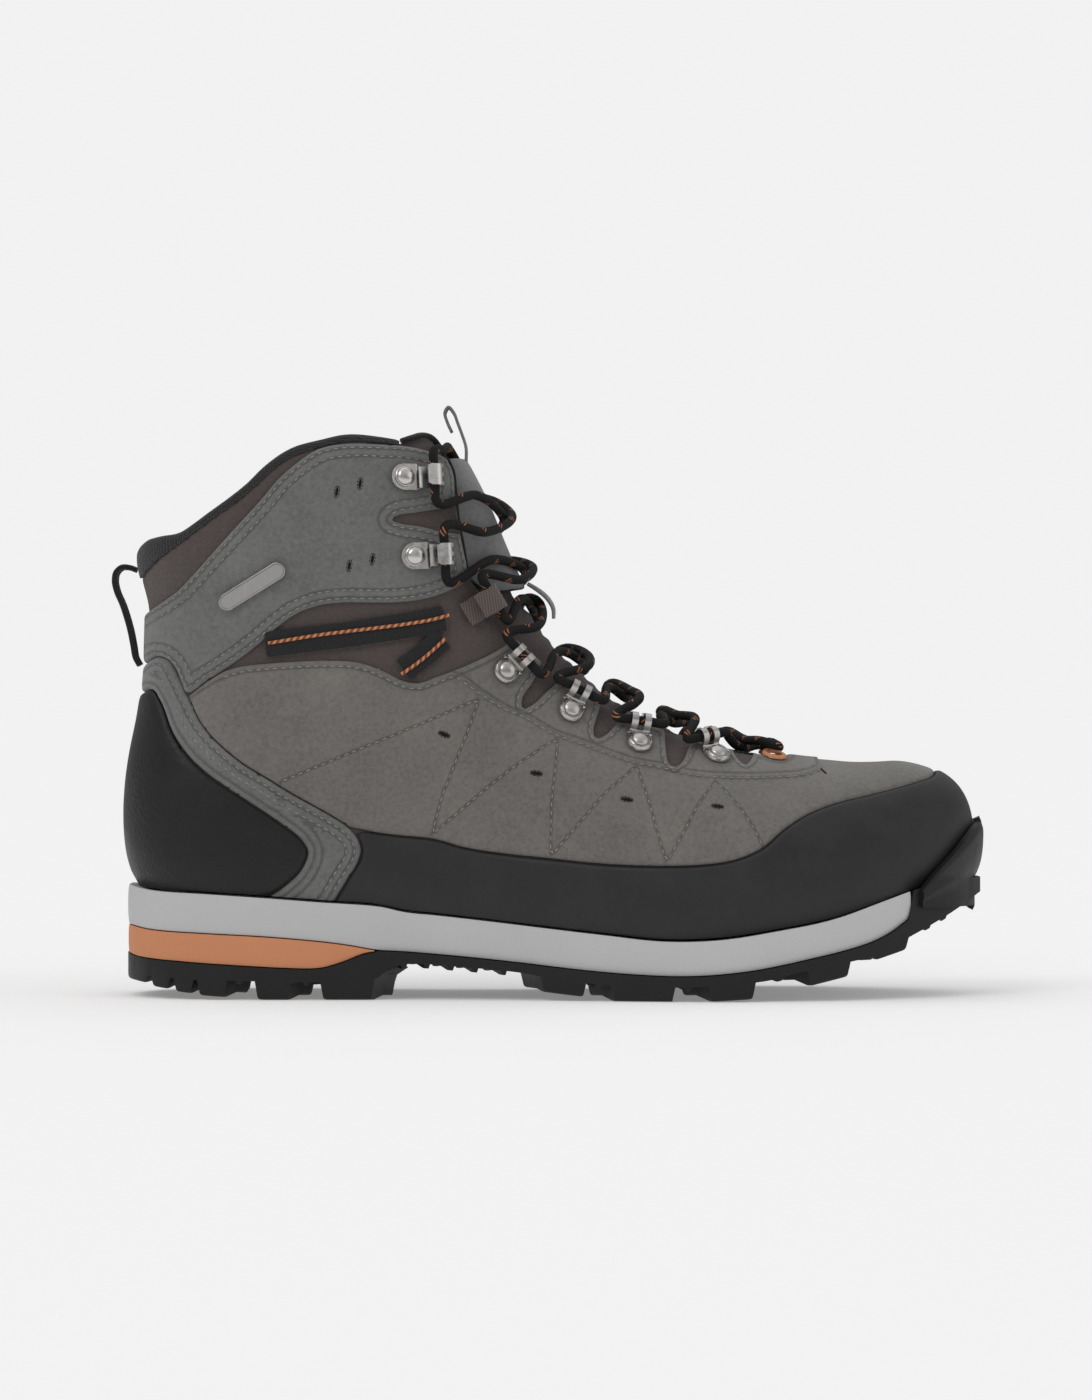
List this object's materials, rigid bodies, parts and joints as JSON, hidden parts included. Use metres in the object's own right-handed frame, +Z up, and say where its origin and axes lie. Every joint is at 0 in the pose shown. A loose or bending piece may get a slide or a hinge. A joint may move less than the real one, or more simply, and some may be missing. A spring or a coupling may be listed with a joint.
{
  "type": "hiking boot",
  "caption": "Right mid-height hiking boot with suede and textile upper, rubber rand and toe, padded collar and tongue, hooks and lace loops, foam midsole and lugged rubber outsole.",
  "frame": {"origin": "centre of the bounding box's bottom face, on the plane the lugs rest on", "axes": "+X from heel to toe, +Z up, and the outer side of the boot faces -Y"},
  "size_m": [0.3115, 0.1082, 0.2107],
  "materials": {
    "aglet": "clear black film",
    "badge": "satin plate",
    "collar_lining": "black padded mesh",
    "cuff_suede": "grey suede",
    "eyelet": "orange enamel",
    "footbed": "felted foam",
    "webbing": "black webbing with an orange cord",
    "heel_rubber": "satin black rubber",
    "heel_stay": "grey suede",
    "stiffener": "moulded sheet",
    "heel_wedge": "orange moulded foam",
    "hook": "polished gunmetal",
    "rivet": "polished nickel",
    "insole_board": "fibre board",
    "lace": "black round braid with orange flecks",
    "lace_ring": "polished gunmetal",
    "lace_tab": "brown tape",
    "lower_suede": "warm grey suede",
    "midsole": "pale grey moulded foam",
    "outsole": "matte black lugged rubber",
    "rand": "satin black rubber, fine grain",
    "shank": "plain strip",
    "textile_shell": "brown ripstop weave",
    "tongue": "brown ribbed weave, padded",
    "tongue_face": "grey microfibre"
  },
  "bodies": {
    "boot": {"aglet_inner": "aglet", "aglet_outer": "aglet", "badge_plate": "badge", "collar_lining": "collar_lining", "cuff_suede": "cuff_suede", "eyelet_inner": "eyelet", "eyelet_outer": "eyelet", "footbed": "footbed", "heel_rubber": "heel_rubber", "heel_stay": "heel_stay", "heel_stiffener": "stiffener", "heel_wedge": "heel_wedge", "hook_inner_1": "hook", "hook_inner_2": "hook", "hook_outer_1": "hook", "hook_outer_2": "hook", "hook_rivet_inner_1": "rivet", "hook_rivet_inner_2": "rivet", "hook_rivet_outer_1": "rivet", "hook_rivet_outer_2": "rivet", "insole_board": "insole_board", "lace": "lace", "lace_ring_inner_1": "lace_ring", "lace_ring_inner_2": "lace_ring", "lace_ring_inner_3": "lace_ring", "lace_ring_inner_4": "lace_ring", "lace_ring_outer_1": "lace_ring", "lace_ring_outer_2": "lace_ring", "lace_ring_outer_3": "lace_ring", "lace_ring_outer_4": "lace_ring", "lace_tab_inner": "lace_tab", "lace_tab_outer": "lace_tab", "lower_strap_inner": "webbing", "lower_strap_outer": "webbing", "lower_suede": "lower_suede", "midsole": "midsole", "outsole": "outsole", "rand": "rand", "ring_rivet_inner_1": "rivet", "ring_rivet_inner_2": "rivet", "ring_rivet_inner_3": "rivet", "ring_rivet_inner_4": "rivet", "ring_rivet_outer_1": "rivet", "ring_rivet_outer_2": "rivet", "ring_rivet_outer_3": "rivet", "ring_rivet_outer_4": "rivet", "shank": "shank", "textile_shell": "textile_shell", "toe_puff": "stiffener", "tongue": "tongue", "tongue_face": "tongue_face", "tongue_lace_keeper": "tongue_face", "upper_strap_inner": "webbing", "upper_strap_outer": "webbing"},
    "heel_pull_loop": {"heel_pull_loop": "webbing"},
    "tongue_pull_loop": {"tongue_pull_loop": "tongue_face"}
  },
  "joints": [
    {"name": "heel_loop_twist", "type": "hinge", "parent": "boot", "child": "heel_pull_loop", "pos_m": [-0.1476, 0, 0.136], "axis": [-0.0665, 0, 0.9978], "range_deg": [-20, 20], "stiffness_Nm_per_rad": 0.0005},
    {"name": "tongue_loop_flop", "type": "hinge", "parent": "boot", "child": "tongue_pull_loop", "pos_m": [-0.0292, 0, 0.1916], "axis": [0, 1, 0], "range_deg": [-5, 55], "stiffness_Nm_per_rad": 0.002}
  ]
}
